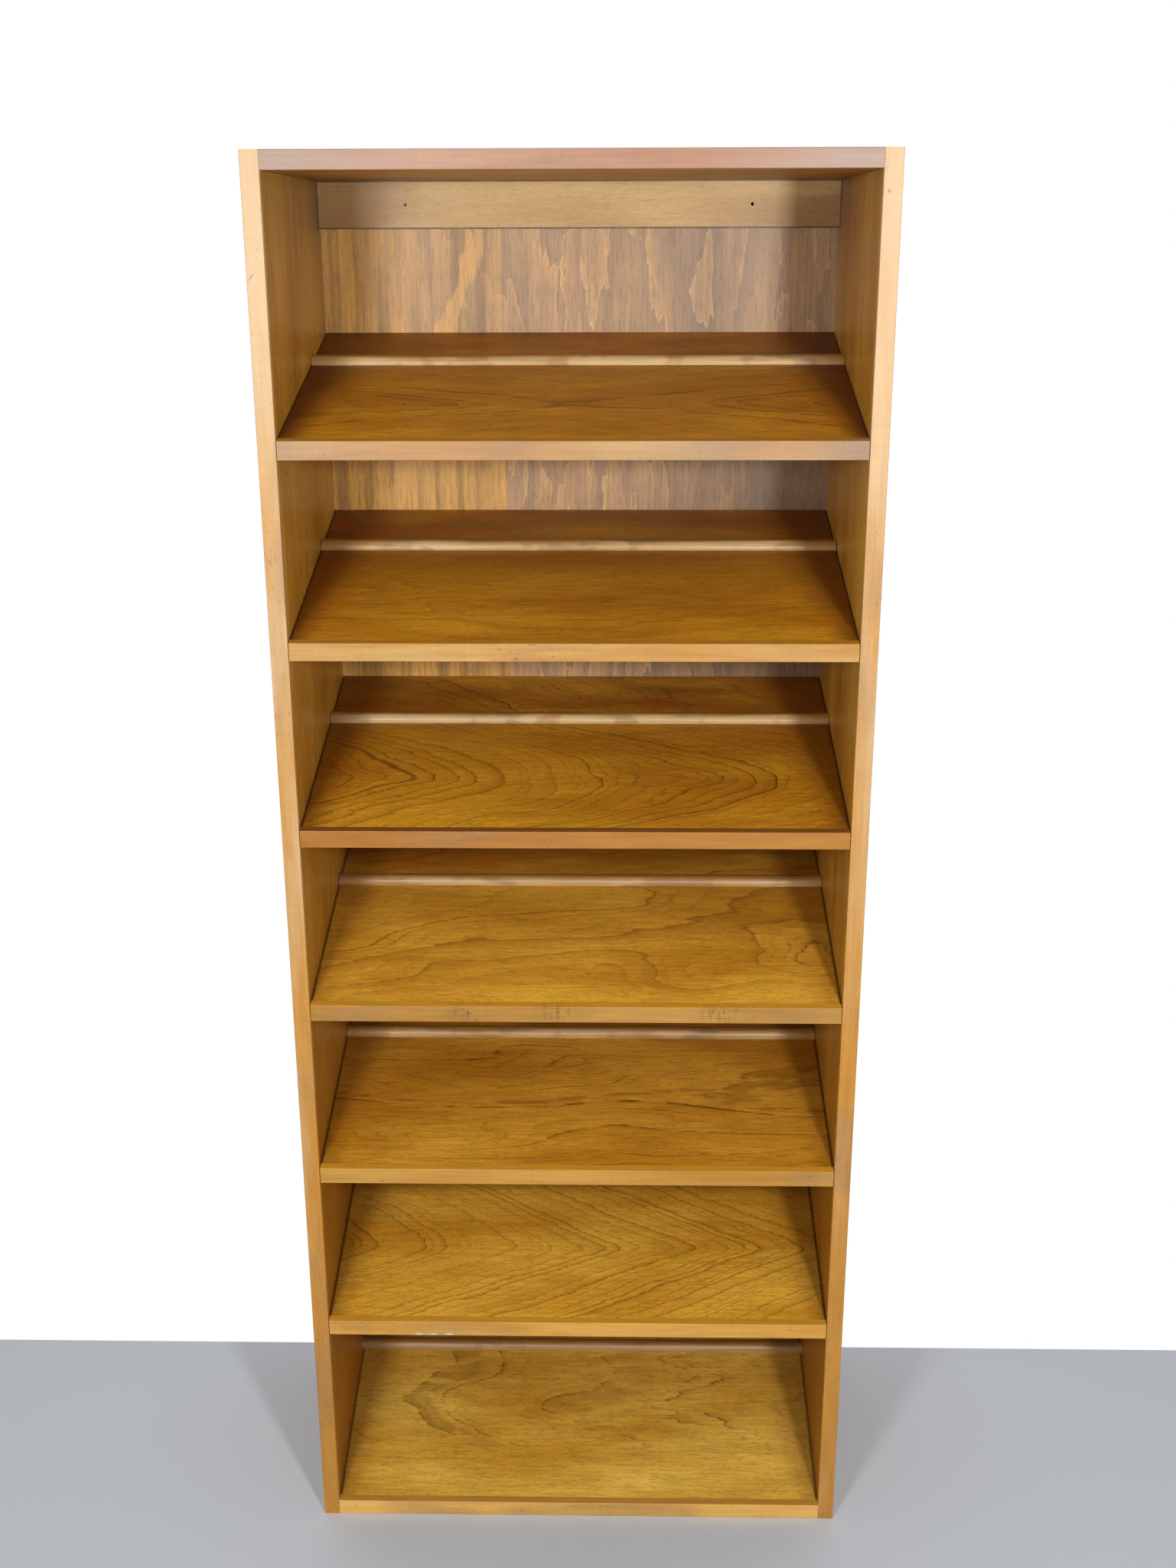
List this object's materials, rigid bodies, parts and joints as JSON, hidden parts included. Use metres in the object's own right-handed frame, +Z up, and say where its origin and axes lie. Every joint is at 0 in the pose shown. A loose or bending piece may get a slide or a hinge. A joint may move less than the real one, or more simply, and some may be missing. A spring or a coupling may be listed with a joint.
{
  "type": "bookcase",
  "caption": "Tall open wooden bookcase with sloping adjustable shelves that lift off pins, a stop bead across each shelf, a thin back and a hanging cleat.",
  "frame": {"origin": "on the floor, in the middle of the footprint", "axes": "+X to the right seen from the front, +Y to the back, +Z up"},
  "size_m": [0.64, 0.34, 1.612],
  "materials": {
    "case_wood": "satin varnish",
    "back_wood": "satin varnish",
    "shelf_wood": "satin varnish",
    "lipping_wood": "satin varnish",
    "bead_wood": "satin varnish",
    "dowel_wood": "bare",
    "fastener_steel": "zinc plated"
  },
  "bodies": {
    "case": {"left_side": "case_wood", "left_side_lipping": "lipping_wood", "right_side": "case_wood", "right_side_lipping": "lipping_wood", "top": "case_wood", "top_lipping": "lipping_wood", "back_panel": "back_wood", "hanging_cleat": "case_wood", "bottom_shelf": "shelf_wood", "bottom_shelf_lipping": "lipping_wood", "bottom_shelf_bead": "bead_wood", "bottom_shelf_bead_brads": "fastener_steel", "shelf_1_pins": "fastener_steel", "shelf_2_pins": "fastener_steel", "shelf_3_pins": "fastener_steel", "shelf_4_pins": "fastener_steel", "shelf_5_pins": "fastener_steel", "shelf_6_pins": "fastener_steel", "top_dowels": "dowel_wood", "bottom_shelf_dowels": "dowel_wood", "cleat_dowels": "dowel_wood", "back_panel_nails": "fastener_steel", "cleat_screws": "fastener_steel"},
    "shelf_1": {"shelf_1": "shelf_wood", "shelf_1_lipping": "lipping_wood", "shelf_1_bead": "bead_wood", "shelf_1_bead_brads": "fastener_steel"},
    "shelf_2": {"shelf_2": "shelf_wood", "shelf_2_lipping": "lipping_wood", "shelf_2_bead": "bead_wood", "shelf_2_bead_brads": "fastener_steel"},
    "shelf_3": {"shelf_3": "shelf_wood", "shelf_3_lipping": "lipping_wood", "shelf_3_bead": "bead_wood", "shelf_3_bead_brads": "fastener_steel"},
    "shelf_4": {"shelf_4": "shelf_wood", "shelf_4_lipping": "lipping_wood", "shelf_4_bead": "bead_wood", "shelf_4_bead_brads": "fastener_steel"},
    "shelf_5": {"shelf_5": "shelf_wood", "shelf_5_lipping": "lipping_wood", "shelf_5_bead": "bead_wood", "shelf_5_bead_brads": "fastener_steel"},
    "shelf_6": {"shelf_6": "shelf_wood", "shelf_6_lipping": "lipping_wood", "shelf_6_bead": "bead_wood", "shelf_6_bead_brads": "fastener_steel"}
  },
  "joints": [
    {"name": "shelf_1_lift", "type": "slide", "parent": "case", "child": "shelf_1", "axis": [0, 0, 1], "range_m": [0, 0.11]},
    {"name": "shelf_2_lift", "type": "slide", "parent": "case", "child": "shelf_2", "axis": [0, 0, 1], "range_m": [0, 0.17]},
    {"name": "shelf_3_lift", "type": "slide", "parent": "case", "child": "shelf_3", "axis": [0, 0, 1], "range_m": [0, 0.17]},
    {"name": "shelf_4_lift", "type": "slide", "parent": "case", "child": "shelf_4", "axis": [0, 0, 1], "range_m": [0, 0.17]},
    {"name": "shelf_5_lift", "type": "slide", "parent": "case", "child": "shelf_5", "axis": [0, 0, 1], "range_m": [0, 0.17]},
    {"name": "shelf_6_lift", "type": "slide", "parent": "case", "child": "shelf_6", "axis": [0, 0, 1], "range_m": [0, 0.17]}
  ]
}
